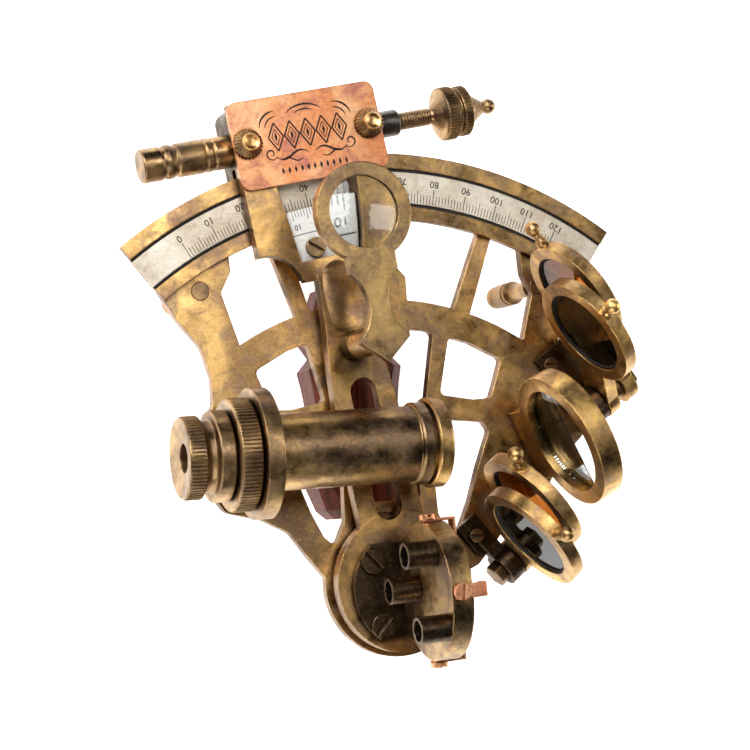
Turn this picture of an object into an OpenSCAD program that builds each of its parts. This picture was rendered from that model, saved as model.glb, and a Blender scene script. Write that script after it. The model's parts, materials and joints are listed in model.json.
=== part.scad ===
// Nautical sextant on three feet: lattice frame, divided arc, index arm with clamp and tangent screw,
// reading magnifier, telescope, index and horizon mirrors, two sets of shades and a wooden grip.
// The origin is on the pivot of the index arm, in the plane of the feet. +Z points out of the arc's
// face, +Y runs from the pivot to the middle of the arc, and the telescope looks along +X.
// Angles on the arc are clockwise from +Y. Heights inside on_face() are measured from the arc's face.

/* [Arc] */
// Outer radius of the arc
limb_r = 115; // [114.6:0.1:115.2]
// Width of the arc, from its outer to its inner edge
limb_w = 17.8; // [17:0.1:18.2]
// Half of the angle that the arc spans
limb_half = 37.2; // [36.5:0.1:38]
// Thickness of the arc
limb_t = 2.2; // [2:0.1:2.4]
// Width of the silvered scale
scale_w = 8.4; // [8:0.1:8.6]
// Width of the groove on each side of the scale
groove_w = 0.8; // [0.5:0.1:0.9]

/* [Frame] */
// Thickness of the lattice
lattice_t = 3; // [2.8:0.1:3.2]
// Height of the arc's face above the feet
face_z = 32; // [31.5:0.5:34]
// Radius of the hub around the pivot
hub_r = 20; // [19.5:0.1:20.3]
// Distance of the upper feet to each side of the middle
foot_x = 48.5; // [48:0.1:49]
// Distance of the upper feet from the pivot along Y
foot_y = 79.6; // [79:0.1:80.2]

/* [Index arm] */
// Angle of the index arm on the arc, clockwise from the middle
arm_at = -8.7; // [-14:0.1:0]
// Thickness of the index arm
arm_t = 4; // [3.8:0.1:4.1]
// Radius of the index arm's disc
disc_r = 18.8; // [18.4:0.1:19]
// Half of the width of the index arm's head
head_half = 20.3; // [20:0.1:20.6]
// Radius of the pivot shaft
shaft_r = 4; // [3.6:0.1:4.2]
// Radial running clearance of shafts and screws
run_gap = 0.05; // [0.03:0.01:0.08]

/* [Magnifier] */
// Height of the magnifier's upper face above the arc
magnifier_z = 29; // [27:0.5:31]
// Angle of the magnifier to the index arm, clockwise
magnifier_at = 3; // [0:0.5:6]
// Outer radius of the magnifier's ring
magnifier_r = 12.8; // [12.4:0.1:13.1]

/* [Telescope] */
// Height of the telescope's axis above the arc
sight_z = 22; // [21.5:0.1:22.5]
// Distance of the telescope's axis from the pivot
sight_y = 35.6; // [35.2:0.1:36]
// Outer radius of the telescope's tube
tube_r = 9.75; // [9.6:0.05:9.9]
// Radius of the telescope's holding ring
holder_r = 16.5; // [16.2:0.1:16.8]

/* [Mirrors] */
// Radius of the index mirror's plate
index_r = 17.7; // [17.5:0.1:17.9]
// Angle of the index mirror's plane to the index arm
index_turn = -6.5; // [-8:0.1:-5]
// Outer radius of the horizon mirror's ring
horizon_r = 18.6; // [18.3:0.1:18.8]
// Direction of the horizon mirror's plane, from +X
horizon_dir = -66; // [-67:0.5:-65]

/* [Shades] */
// Outer radius of a shade's ring
shade_r = 15.6; // [15.3:0.1:15.8]
// Thickness of a shade's ring
shade_t = 3.6; // [3.4:0.1:3.8]
// Distance between the planes of the two shades of a set
shade_pitch = 6.9; // [6.6:0.1:7]

/* [Hidden] */
$fn = 96;

brass = "#a8813f";
bronze = "#6d5232";
copper = "#c4704a";
silvered = "#d9d2bd";
steel = "#55514c";
wood = "#6b2a1e";

// Heights measured from the arc's face
lattice_top = -limb_t;
lattice_low = -limb_t - lattice_t;
arm_low = 0.4;
arm_top = arm_low + arm_t;
limb_in = limb_r - limb_w;
scale_mid = limb_r - 9.1;
scale_t = 0.85;

// Frame: the bars across the lattice and the opening in its neck
cross_r = 71.8;
cross_w = 7.5;
rim_in = 99;
rim_out = 109;
neck_low = 21.5;

// Centre bearing and the nut that holds the index arm
bush_r = 7;
bush_low = -12.3;
nut_r = 5.2;
stub_r = 2.5;
lower_foot_at = [-3, -12];
right_foot_at = [foot_x - 0.5, foot_y - 2];

// Grip
grip_x = -2.5;
grip_z = -21.2;
grip_ends = [17.6, 80.4];
rod_r = 2;

// Clamp at the head of the index arm
box_y = [115.6, 131.8];
box_z = [-8.4, 2.4];
head_top_y = 131.8;
screw_y = 120.8;
screw_z = -2;
chamber_half = 13;
thread_r = 2.4;
thread_pitch = 0.75;
thread_x = [28.6, 38.4];
cover_t = 1.2;
cover_y = [108.7, 132.2];
cover_screw_x = 17.2;
window_half = 5.9;
vernier_r = [88.2, 102];
vernier_z = 1.4;

// Magnifier
post_y = 63.6;
magnifier_t = 3;
lens_at = 32.4;
post_r = 3.9;
pin_r = 2.2;

// Index mirror, in a frame whose Y lies in the mirror's plane
mirror_z = 24.5;
mirror_y = -2.3;
mirror_x = [-2.2, 3.4];
base_y = [-14.2, 10.8];
base_t = 2.5;
base_top = arm_top + base_t;
socket_at = [[7.6, 32.5], [-1.4, 18.2], [-11, 36.2]];
socket_l = 8;
socket_r = 3.4;
socket_wall = 0.75;
base_screw_at = [[-9.6, 6.4], [-8.8, -10.6]];

// Horizon mirror
horizon_at = [39.9, 33.6];
horizon_t = 6;
horizon_glass_r = 15.3;

// Hinges of the shades: place, direction of the plane, reach to the ring's middle
index_hinge = [34.9, 4.5, -1];
index_shade_dir = -51.5;
index_reach = 22;
index_angles = [107.4, 124.4];
horizon_hinge = [61.5, 45.3, 5];
horizon_shade_dir = -56;
horizon_reach = [28.3, 31.4];
horizon_angles = [138, 160];
bolt_r = 2;
lug_r = 5.2;
shade_open_r = 12.2;
shade_glass_r = 12.9;

module on_face() {
    translate([0, 0, face_z]) children();
}

module on_arm() {
    on_face() rotate([0, 0, -arm_at]) children();
}

module on_mirror() {
    on_face() rotate([0, 0, index_turn - arm_at]) children();
}

module on_magnifier() {
    on_arm() translate([0, post_y, 0]) rotate([0, 0, -magnifier_at]) children();
}

module on_sight() {
    on_face() translate([0, sight_y, sight_z]) rotate([0, 90, 0]) children();
}

module on_screw_axis() {
    on_arm() translate([0, screw_y, screw_z]) rotate([0, 90, 0]) children();
}

// Upright plates: X runs along the plate, Z goes up, and Y is the plate's normal
module on_upright(at, z, direction) {
    on_face() translate([at[0], at[1], z]) rotate([0, 0, direction]) children();
}

module on_index_hinge() {
    on_upright(index_hinge, index_hinge[2], index_shade_dir) children();
}

module on_horizon_hinge() {
    on_upright(horizon_hinge, horizon_hinge[2], horizon_shade_dir) children();
}

// Cylinder along Y, from y1 to y2
module rod_y(r, y1, y2) {
    translate([0, y2, 0]) rotate([90, 0, 0]) cylinder(r = r, h = y2 - y1);
}

// Ring sector of the arc's circle between two clockwise angles
module arc_band(r_in, r_out, a_from, a_to, z_low, z_high) {
    rotate([0, 0, 90 - a_to])
        rotate_extrude(angle = a_to - a_from)
            translate([r_in, z_low]) square([r_out - r_in, z_high - z_low]);
}

module slab(x, y, z) {
    translate([x[0], y[0], z[0]]) cube([x[1] - x[0], y[1] - y[0], z[1] - z[0]]);
}

module rounded(r) {
    offset(r = r, $fn = 32) offset(delta = -r) children();
}

module slotted_head(r, h, slot_w = 0.8) {
    difference() {
        cylinder(r = r, h = h);
        translate([-r - 1, -slot_w / 2, h * 0.45]) cube([2 * r + 2, slot_w, h]);
    }
}

/* ---- Frame ---- */

// Left half of the lattice's outline, from the arc down to the hub
left_outline = [[-61, 82], [-55.5, 72.5], [-49.5, 65], [-47.2, 57], [-47.2, 50], [-50.3, 45],
    [-50.3, 28], [-46, 21.5], [-36, 18.8], [-29, 15], [-24.5, 8.5], [-18, 0]];
// Right half, with the lugs that carry the brackets of the shades
right_outline = [[18, 0], [24, 2.6], [30.8, 9.8], [36, 18], [46, 22], [51, 29], [59, 36], [61.5, 41],
    [58, 51], [53, 61], [52.5, 68], [55.5, 72.5], [61, 82]];

module lattice_outline() {
    offset(r = -4, $fn = 32) offset(r = 4) rounded(3)
        polygon(concat(left_outline, right_outline, [[40, 95], [0, 101], [-40, 95]]));
    circle(r = hub_r);
}

module upper_openings() {
    intersection() {
        difference() {
            circle(r = rim_in);
            circle(r = cross_r + cross_w / 2);
        }
        union() {
            rounded(1.5) polygon([[-41, 102], [-40, 84.5], [-43, 79], [-38.6, 64], [-20, 64], [-28.8, 90],
                [-32, 102]]);
            rounded(1.5) polygon([[-29, 102], [-21.4, 82], [-17, 66], [20, 66], [22.2, 72], [33.5, 98],
                [30, 102]]);
            rounded(1.5) polygon([[37.5, 98], [26, 68], [42, 62], [46, 75.5], [43.6, 81], [43, 98]]);
        }
    }
}

// Pad on the upper bar that takes the grip's upper bracket
module bracket_pad() {
    polygon([[-9, 66], [9, 66], [9, 81.5], [6, 84.8], [-6, 84.8], [-9, 81.5]]);
}

module middle_opening() {
    rounded(1.5) intersection() {
        circle(r = cross_r - cross_w / 2);
        polygon([[-37.5, 64], [-31.3, 47.4], [-26, 47.2], [-16.4, 49], [-21, 68]]);
    }
}

module lower_opening() {
    rounded(1.5) polygon([[-18.6, 42.2], [-28.4, 41], [-30, 38.6], [-25.9, 28.8], [-22.8, 20],
        [-19.6, 13.2], [-16.6, 10.4], [-13.3, 17], [-13, 27]]);
}

module neck_opening() {
    rounded(1.5) intersection() {
        circle(r = cross_r - cross_w / 2);
        polygon([[-16.4, 69], [16.4, 69], [12.3, 48], [8.6, 27], [8.6, neck_low], [-8.6, neck_low],
            [-8.6, 27], [-12.3, 48]]);
    }
}

module lattice_shape() {
    difference() {
        lattice_outline();
        upper_openings();
        middle_opening();
        mirror([1, 0]) middle_opening();
        lower_opening();
        mirror([1, 0]) lower_opening();
        neck_opening();
    }
    bracket_pad();
}

module frame() {
    color(brass) on_face() difference() {
        union() {
            translate([0, 0, lattice_low]) linear_extrude(lattice_t) lattice_shape();
            arc_band(rim_in - 0.5, rim_out, -limb_half + 1.5, limb_half - 1.5, lattice_low, lattice_top);
            translate([0, 0, lattice_top - 0.5]) cylinder(r = 14, h = 0.55 - lattice_top);
        }
        translate([0, 0, lattice_low - 1]) cylinder(r = bush_r, h = 10);
        for (at = [[-foot_x, foot_y], right_foot_at])
            translate([at[0], at[1], lattice_low - 1]) cylinder(r = 2.4, h = 8);
        translate([lower_foot_at[0], lower_foot_at[1], lattice_low - 1]) cylinder(r = 2.4, h = 3);
        for (at = [bracket_screw_low, bracket_screw_high])
            translate([at[0], at[1], lattice_low - 1]) cylinder(r = 1.25, h = 8);
        for (at = concat([shade_screw_index, shade_screw_horizon], holder_screw_at))
            translate([at[0], at[1], lattice_low - 1]) cylinder(r = 1.2, h = 8);
        for (at = horizon_screw_at)
            translate([at[0], at[1], lattice_low - 1]) cylinder(r = 1.25, h = 8);
    }
}

module limb() {
    color(brass) on_face() difference() {
        arc_band(limb_in, limb_r, -limb_half, limb_half, lattice_top, 0);
        arc_band(scale_mid - scale_w / 2 - groove_w, scale_mid + scale_w / 2 + groove_w,
            -limb_half - 1, limb_half + 1, -scale_t - 0.05, 1);
    }
}

module scale() {
    color(silvered) on_face()
        arc_band(scale_mid - scale_w / 2, scale_mid + scale_w / 2, -limb_half, limb_half,
            -scale_t - 0.05, -0.05);
}

// Turned foot below the point (x, y), with a spigot that is riveted in the lattice
module foot(x, y, spigot_top) {
    shank_h = face_z + lattice_low;
    translate([x, y, -face_z]) rotate_extrude()
        polygon(concat([[0, 0], [2, 0]],
            [for (a = [-60:15:60]) [3 - 0.9 + 0.9 * cos(a) + 0.2, 1.6 + 1.6 * sin(a) / sin(60)]],
            [[2.4, 3.3], [2.4, 4], [3.3, 4.4], [3.3, 10.5], [2.9, 10.9], [2.9, 11.6], [3.3, 12],
            [3.3, 12.8], [2.2, 14], [2.2, shank_h - 5], [2.9, shank_h - 1.2], [3.2, shank_h - 1],
            [3.2, shank_h], [2.4, shank_h], [2.4, face_z + spigot_top], [0, face_z + spigot_top]]));
}

module left_foot() {
    color(bronze) on_face() foot(-foot_x, foot_y, lattice_top + 0.15);
}

module right_foot() {
    color(bronze) on_face() foot(right_foot_at[0], right_foot_at[1], lattice_top + 0.15);
}

module lower_foot() {
    color(bronze) on_face() foot(lower_foot_at[0], lower_foot_at[1], lattice_low + 2);
}

module centre_bearing() {
    color(bronze) on_face() difference() {
        union() {
            translate([0, 0, bush_low]) cylinder(r = bush_r, h = 0.05 - bush_low);
            translate([0, 0, lattice_low - 3]) cylinder(r = 8.6, h = 3);
        }
        translate([0, 0, bush_low - 1]) cylinder(r = shaft_r + run_gap, h = 20);
    }
}

/* ---- Grip ---- */

bracket_screw_low = [grip_x, 18];
bracket_screw_high = [grip_x, 76];
bracket_t = 3;
eye_r = 4.6;

module on_grip() {
    on_face() translate([grip_x, 0, grip_z]) children();
}

// Octagonal turned grip with a groove, flattened on the sides that face the frame and the floor
module grip() {
    profile = [[8.6, 17.6], [11, 20], [13.1, 26], [12.2, 36], [11.6, 46], [12.6, 54], [13.4, 58.4],
        [10.4, 62], [13, 66.5], [12.4, 70], [8.4, 80.4]];
    color(wood) on_grip() difference() {
        intersection() {
            rotate([-90, 22.5, 0]) rotate_extrude($fn = 8)
                polygon(concat([[0, grip_ends[0]]], [for (p = profile) [p[0] / cos(22.5), p[1]]],
                    [[0, grip_ends[1]]]));
            slab([-20, 20], [0, 100], [-8.8, 8.8]);
        }
        rod_y(rod_r, 0, 100);
    }
}

module grip_rod() {
    color(steel) on_grip() rod_y(rod_r, 7, 88);
}

module grip_nuts() {
    color(bronze) on_grip() {
        difference() {
            rotate([-90, 0, 0]) rotate_extrude()
                polygon([[0, 4.6], [3, 4.6], [3.4, 5.2], [4.6, 6.8], [4.6, 9], [3.8, 9.4], [3.8, 10.7],
                    [0, 10.7]]);
            rod_y(rod_r, 7, 12);
        }
        difference() {
            rotate([-90, 0, 0]) rotate_extrude()
                polygon([[0, 84.3], [4.4, 84.3], [4.4, 88], [3, 89.4], [0, 89.4]]);
            rod_y(rod_r, 80, 88);
        }
        difference() {
            rod_y(5, 14.1, 17.6);
            rod_y(rod_r, 10, 20);
        }
    }
}

// Bracket of the grip: a tab on the back of the frame and a post with an eye around the rod
module grip_bracket(tab_y, post_y1, post_y2, screw_at) {
    tab_top = lattice_low - grip_z;
    difference() {
        union() {
            slab([-4.6, 4.6], tab_y, [tab_top - bracket_t, tab_top]);
            slab([-3.2, 3.2], [post_y1, post_y2], [0, tab_top]);
            rod_y(eye_r, post_y1, post_y2);
        }
        rod_y(rod_r, post_y1 - 1, post_y2 + 1);
        translate([0, screw_at, tab_top - bracket_t - 1]) cylinder(r = 1.25, h = bracket_t + 2);
    }
}

module lower_bracket() {
    color(bronze) on_grip() grip_bracket([10.7, 21], 10.7, 14.1, bracket_screw_low[1]);
}

module upper_bracket() {
    color(bronze) on_grip() grip_bracket([71, 84.3], 80.4, 84.3, bracket_screw_high[1]);
}

/* ---- Index arm ---- */

module pivot_shaft() {
    color(steel) on_face() {
        translate([0, 0, bush_low - 0.05]) cylinder(r = shaft_r, h = arm_low + 2 - bush_low + 0.05);
        translate([0, 0, bush_low - 4.6]) cylinder(r = stub_r, h = 4.6);
    }
}

// Nut with a round flange
module pivot_nut() {
    color(steel) on_face() translate([0, 0, bush_low - 4]) difference() {
        union() {
            cylinder(r = nut_r, h = 3.9, $fn = 6);
            translate([0, 0, 3]) cylinder(r = 6.4, h = 0.9);
        }
        translate([0, 0, -1]) cylinder(r = stub_r, h = 8);
    }
}

module arm_slot() {
    slot_half = 3.7;
    slot_y = [20.4, 51.2];
    for (y = slot_y) translate([0, y]) circle(r = slot_half);
    translate([-slot_half, slot_y[0]]) square([2 * slot_half, slot_y[1] - slot_y[0]]);
}

module arm_shape() {
    difference() {
        union() {
            circle(r = disc_r);
            polygon([[-8.9, 10], [-8.8, 47], [-8, 58], [-6.6, 69], [-5.5, 84], [5.5, 84], [6.6, 69],
                [8, 58], [8.8, 47], [8.9, 10]]);
            translate([-head_half, 82.7]) square([2 * head_half, head_top_y - 82.7]);
        }
        for (side = [-1, 1]) {
            translate([side * 18.6, 82.2]) circle(r = 9);
            translate([side * (head_half + 4.9) - 5, 80]) square([10, 11.2]);
            translate([side * 20 - 10.9, 80]) square([21.8, 3.4]);
        }
        arm_slot();
    }
}

// Shallow boat-shaped hollow above the post, turned about a line along Y over the arm
module thumb_scoop() {
    turn_r = 13.2;
    depth = 0.9;
    half_l = 9.8;
    steps = 12;
    translate([0, 77, arm_top + turn_r - 0.35]) rotate([-90, 0, 0]) rotate_extrude()
        polygon(concat([[0, -half_l]],
            [for (i = [0:steps]) let (t = 2 * i / steps - 1)
                [turn_r - 0.35 - depth + depth * (1 + sqrt(1 - t * t)), half_l * t]],
            [[0, half_l]]));
}

module index_arm() {
    color(brass) on_arm() difference() {
        translate([0, 0, arm_low]) linear_extrude(arm_t) arm_shape();
        translate([0, 0, arm_low - 1]) cylinder(r = shaft_r, h = 3);
        arc_band(vernier_r[1] - 0.7, 111, -window_half, window_half, -1, 10);
        arc_band(vernier_r[0], vernier_r[1], -window_half, window_half, vernier_z, 10);
        slab([-head_half - 1, head_half + 1], [box_y[0], 140], [-1, box_z[1]]);
        for (side = [-1, 1]) {
            translate([side * 4.1, 91.2, -1]) cylinder(r = 1.2, h = 5);
            translate([side * cover_screw_x, screw_y, 0]) cylinder(r = 1.5 + run_gap, h = 10);
        }
        for (at = base_screw_at)
            rotate([0, 0, index_turn]) translate([at[0], at[1], 0]) cylinder(r = 1.3, h = 10);
        thumb_scoop();
    }
}

module vernier() {
    color(silvered) on_arm() difference() {
        arc_band(vernier_r[0], vernier_r[1], -window_half + 0.1, window_half - 0.1, vernier_z,
            vernier_z + 1.6);
        for (side = [-1, 1]) translate([side * 4.1, 91.2, -1]) cylinder(r = 1.2, h = 10);
    }
}

module vernier_screws() {
    color(bronze) on_arm() for (side = [-1, 1]) translate([side * 4.1, 91.2, 0]) {
        translate([0, 0, 0.5]) cylinder(r = 1.2, h = vernier_z + 1.1);
        translate([0, 0, vernier_z + 1.6]) rotate([0, 0, 40 * side]) slotted_head(2.6, 1.5);
    }
}

module box_shape() {
    difference() {
        rounded(3.4) translate([-head_half, box_y[0] - 6])
            square([2 * head_half, box_y[1] - box_y[0] + 6]);
        translate([-30, 90]) square([60, box_y[0] - 90]);
    }
}

// Housing of the clamp: a block outside the arc with a jaw that reaches behind the arc
module clamp_box() {
    jaw_top = lattice_top - 0.4;
    color(bronze) on_arm() difference() {
        union() {
            translate([0, 0, box_z[0]]) linear_extrude(box_z[1] - box_z[0]) box_shape();
            slab([-head_half, head_half], [111.2, box_y[0] + 0.5], [box_z[0], jaw_top]);
        }
        slab([-chamber_half, chamber_half], [117.2, 124.4], [-5.6, 1.6]);
        slab([-8, 8], [114, 118], [-5.6, -0.4]);
        translate([-head_half - 1, screw_y, screw_z]) rotate([0, 90, 0]) cylinder(r = 3, h = 10);
        translate([10, screw_y, screw_z]) rotate([0, 90, 0]) cylinder(r = thread_r + run_gap, h = 20);
        for (side = [-1, 1])
            translate([side * cover_screw_x, screw_y, 1.3]) cylinder(r = 1.5 + run_gap, h = 5);
    }
}

module cover_plate() {
    color(copper) on_arm() difference() {
        translate([0, 0, arm_top]) linear_extrude(cover_t) rounded(2.6)
            translate([-head_half - 0.5, cover_y[0]])
                square([2 * head_half + 1, cover_y[1] - cover_y[0]]);
        for (side = [-1, 1])
            translate([side * cover_screw_x, screw_y, 0]) cylinder(r = 1.5 + run_gap, h = 10);
    }
}

module thumb_screw(side) {
    head_low = arm_top + cover_t + 0.05;
    shank_low = 1.5;
    on_arm() translate([side * cover_screw_x, screw_y, 0]) rotate_extrude()
        polygon([[0, shank_low], [1.5, shank_low], [1.5, head_low], [3.5, head_low], [3.7, head_low + 0.5],
            [3.7, head_low + 1.5], [2.4, head_low + 3], [2.3, head_low + 3.9], [1.95, head_low + 4.1],
            [1.2, head_low + 3.7], [0, head_low + 3.55]]);
}

module cover_screw_left() {
    color(bronze) thumb_screw(-1);
}

module cover_screw_right() {
    color(bronze) thumb_screw(1);
}

module spring_barrel() {
    left = -44.7;
    color(bronze) on_screw_axis() difference() {
        rotate_extrude()
            polygon([[0, left], [4.2, left], [4.5, left + 0.4], [4.5, -39.4], [4.1, -39], [4.1, -38.6],
                [4.4, -38.2], [4.55, -37.2], [4.4, -36.2], [4.1, -35.8], [4.1, -35.2], [4.5, -34.8],
                [4.5, -28], [4.1, -27.6], [4.1, -27.3], [4.45, -27], [4.45, -25.6], [4.1, -25.3],
                [4.1, -24.9], [4.4, -24.6], [4.4, -head_half], [3, -head_half], [3, -15], [0, -15]]);
        translate([0, 0, left + 1.6]) cylinder(r = 2.6, h = 40);
    }
}

coil_turns = 9;
coil_wire = 0.32;
coil_r = 2.15;
coil_x = [-42.7, -29.4];

// Points on the wire's surface: a ring of six around each step of the helix
module plunger_spring() {
    steps = 14;
    sides = 6;
    count = coil_turns * steps;
    rise = (coil_x[1] - coil_x[0]) / count;
    ring = [for (i = [0:count], k = [0:sides - 1])
        let (a = 360 * i / steps, b = 360 * k / sides, r = coil_r + coil_wire * cos(b))
        [r * cos(a), r * sin(a), coil_x[0] + rise * i + coil_wire * sin(b)]];
    skin = [for (i = [0:count - 1], k = [0:sides - 1])
        let (a = i * sides, n = (k + 1) % sides)
        [a + k, a + sides + k, a + sides + n, a + n]];
    color(steel) on_screw_axis()
        polyhedron(ring, concat(skin, [[for (k = [0:sides - 1]) k],
            [for (k = [sides - 1:-1:0]) count * sides + k]]));
}

module clamp_slider() {
    color(bronze) on_arm() difference() {
        union() {
            slab([-4, 4], [117.5, 124.1], [-5.3, 1.3]);
            slab([-4, 4], [115.35, 118], [-5.3, -0.7]);
        }
        translate([-6, screw_y, screw_z]) rotate([0, 90, 0]) cylinder(r = 1.6, h = 5);
    }
}

module plunger() {
    color(steel) on_screw_axis() {
        translate([0, 0, -29]) cylinder(r = 2.5, h = 2);
        translate([0, 0, -27]) cylinder(r = 1.6, h = 26);
    }
}

module tangent_bush() {
    color(steel) on_screw_axis() difference() {
        rotate_extrude()
            polygon([[0, head_half], [3.9, head_half], [3.9, 22], [3.6, 22.4], [3.6, 28], [3.3, 28.4],
                [0, 28.4]]);
        translate([0, 0, 10]) cylinder(r = thread_r + run_gap, h = 30);
    }
}

// Screw with a plain stem, a threaded stretch, two knurled discs and a turned finial
module tangent_screw() {
    turns = round((thread_x[1] - thread_x[0]) / thread_pitch);
    thread = [for (i = [0:turns - 1], edge = [0, 1])
        [edge == 0 ? thread_r : thread_r - 0.4, thread_x[0] + (i + edge / 2) * thread_pitch]];
    color(bronze) on_screw_axis() rotate_extrude()
        polygon(concat([[0, 4.1], [thread_r, 4.1]], thread,
            [[thread_r, 38.7], [3, 39.2], [4.6, 40.8], [6.4, 41], [7, 41.5], [7, 44.7], [6.5, 45.2],
            [5.8, 45.4], [5.8, 46], [6.6, 46.4], [6.6, 48.8], [6.1, 49.2], [4.6, 49.4], [4.2, 50.4],
            [1.9, 53.8], [1.7, 54.2]],
            [for (a = [-50:20:70]) [2.1 * cos(a), 56 + 2.1 * sin(a)]], [[0, 58]]));
}

/* ---- Magnifier ---- */

plate_low = magnifier_z - magnifier_t;
collar_top = 10;

module magnifier_post() {
    color(bronze) on_arm() translate([0, post_y, 0]) {
        translate([0, 0, arm_top]) cylinder(r = post_r, h = collar_top - arm_top);
        translate([0, 0, collar_top]) cylinder(r = pin_r, h = plate_low - 2 - collar_top);
    }
}

module magnifier_shape() {
    waist = 2.6;
    scoop_r = 11;
    difference() {
        union() {
            translate([0, lens_at]) circle(r = magnifier_r);
            difference() {
                polygon([[0, -6.3], [6.7, -0.6], [6.4, lens_at - 11], [-6.4, lens_at - 11], [-6.7, -0.6]]);
                for (side = [-1, 1])
                    translate([side * (waist + scoop_r), 8.7]) circle(r = scoop_r);
            }
        }
        translate([0, lens_at]) circle(r = 9.3);
    }
}

module magnifier_arm() {
    color(brass) on_magnifier() difference() {
        union() {
            translate([0, 0, plate_low]) linear_extrude(magnifier_t) magnifier_shape();
            translate([0, 0, collar_top + 0.15]) cylinder(r = post_r - 0.1, h = plate_low - collar_top);
        }
        translate([0, 0, collar_top - 1]) cylinder(r = pin_r + run_gap, h = plate_low - 1.9 - collar_top + 1);
        translate([0, lens_at, plate_low + 0.7]) cylinder(r = 9.8, h = 1.6);
    }
}

// Round lens on Z: its edge runs from z1 to z2 and its faces rise by bulge1 below and bulge2 above
module lens(r, z1, z2, bulge1, bulge2) {
    steps = 10;
    rotate_extrude() polygon(concat(
        [for (i = [0:steps]) [r * i / steps, z1 - bulge1 * (1 - pow(i / steps, 2))]],
        [for (i = [steps:-1:0]) [r * i / steps, z2 + bulge2 * (1 - pow(i / steps, 2))]]));
}

module magnifier_lens() {
    color("#cfe0e0", 0.5) on_magnifier() translate([0, lens_at, plate_low]) lens(9.8, 0.8, 2.2, 0.7, 0.7);
}

/* ---- Telescope ---- */

holder_x = [-45.5, -41.3];
holder_screw_at = [[-47.4, 31], [-47.4, 40.2]];
tube_bore = 8.6;

module telescope_holder() {
    color(bronze) on_face() difference() {
        union() {
            translate([holder_x[0], sight_y, sight_z]) rotate([0, 90, 0])
                cylinder(r = holder_r, h = holder_x[1] - holder_x[0]);
            slab(holder_x, [sight_y - 6.5, sight_y + 6.5], [-0.5, 9]);
            slab([-49.6, -38], [28.2, 43], [lattice_top, 0]);
        }
        translate([-60, sight_y, sight_z]) rotate([0, 90, 0]) cylinder(r = tube_r, h = 40);
        for (at = holder_screw_at) translate([at[0], at[1], -5]) cylinder(r = 1.2, h = 10);
    }
}

module telescope_tube() {
    color(brass) on_sight() difference() {
        rotate_extrude()
            polygon([[0, -51.8], [tube_r, -51.8], [tube_r, -2.7], [10.3, -2.5], [10.6, -2.1], [10.6, 0.5],
                [9.9, 0.8], [9.9, 1.4], [0, 1.4]]);
        translate([0, 0, -60]) cylinder(r = tube_bore, h = 70);
    }
}

module objective_ring() {
    color(brass) on_sight() difference() {
        rotate_extrude()
            polygon([[0, 1.4], [11.2, 1.4], [11.6, 1.8], [11.6, 4.9], [11.2, 5.3], [0, 5.3]]);
        cylinder(r = 9.2, h = 4.5);
        cylinder(r = 8.4, h = 9);
    }
}

module objective_lens() {
    color("#cfe0e0", 0.5) on_sight() lens(9.2, 2.2, 4.4, 1.2, 0.4);
}

module lock_ring() {
    color(bronze) on_sight() difference() {
        rotate_extrude()
            polygon([[0, -51.6], [13.6, -51.6], [14, -51.2], [14, -46.3], [13.6, -45.9], [0, -45.9]]);
        translate([0, 0, -60]) cylinder(r = tube_r + run_gap, h = 40);
    }
}

module eyepiece() {
    color(bronze) on_sight() difference() {
        rotate_extrude()
            polygon([[3.7, -62.6], [10, -63.6], [10.2, -63.3], [10.2, -59.4], [9.8, -59], [9.1, -58.4],
                [8.9, -57.6], [9.1, -56.6], [9.5, -56.2], [11.2, -56.1], [11.5, -55.8], [11.5, -52.4],
                [11.2, -52.1], [tube_bore - run_gap, -52.1], [tube_bore - run_gap, -22], [7.2, -22],
                [7.2, -60], [3.7, -60]]);
    }
}

module eyepiece_lens() {
    color("#cfe0e0", 0.5) on_sight() lens(7.2, -59.8, -58.6, 0, 1.4);
}

/* ---- Index mirror ---- */

module base_shape() {
    intersection() {
        translate([1, -1.7]) circle(r = 16.3);
        translate([-20, base_y[0]]) square([28, base_y[1] - base_y[0]]);
    }
}

module mirror_base() {
    color(bronze) on_mirror() difference() {
        translate([0, 0, arm_top]) linear_extrude(base_t) base_shape();
        for (at = base_screw_at) translate([at[0], at[1], 0]) cylinder(r = 1.3, h = 20);
    }
}

module mirror_base_screws() {
    color(steel) on_mirror() for (i = [0, 1]) translate([base_screw_at[i][0], base_screw_at[i][1], 0]) {
        translate([0, 0, arm_low + 0.5]) cylinder(r = 1.3, h = base_top - arm_low - 0.5);
        translate([0, 0, base_top]) rotate([0, 0, i * 95 - 50]) slotted_head(3.2, 1.5, 0.9);
    }
}

module plate_outline() {
    translate([mirror_y, mirror_z]) circle(r = index_r);
    polygon([[base_y[0], base_top], [base_y[1], base_top], [mirror_y + 15.5, mirror_z - 6],
        [mirror_y - 15.5, mirror_z - 6]]);
}

// Upright plate: its outline is drawn in Y and Z and given thickness along X
module upright_x(x1, x2) {
    translate([x1, 0, 0]) rotate([90, 0, 90]) linear_extrude(x2 - x1) children();
}

module mirror_plate() {
    color(brass) on_mirror() difference() {
        upright_x(mirror_x[0], mirror_x[1]) difference() {
            plate_outline();
            translate([-30, -20]) square([60, 20 + base_top]);
        }
        upright_x(mirror_x[1] - 1.8, mirror_x[1] + 1) translate([mirror_y, mirror_z]) circle(r = 15);
    }
}

module mirror_sockets() {
    color(steel) on_mirror() for (at = socket_at)
        upright_x(mirror_x[0] - socket_l, mirror_x[0]) translate(at) difference() {
            circle(r = socket_r);
            circle(r = socket_r - socket_wall);
        }
}

module socket_screws() {
    color(steel) on_mirror() for (at = socket_at)
        translate([mirror_x[0], at[0], at[1]]) rotate([0, -90, 0]) rotate([0, 0, 20])
            slotted_head(socket_r - socket_wall, socket_l - 2.4, 0.7);
}

clip_angles = [90, 2, 188];

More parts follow.
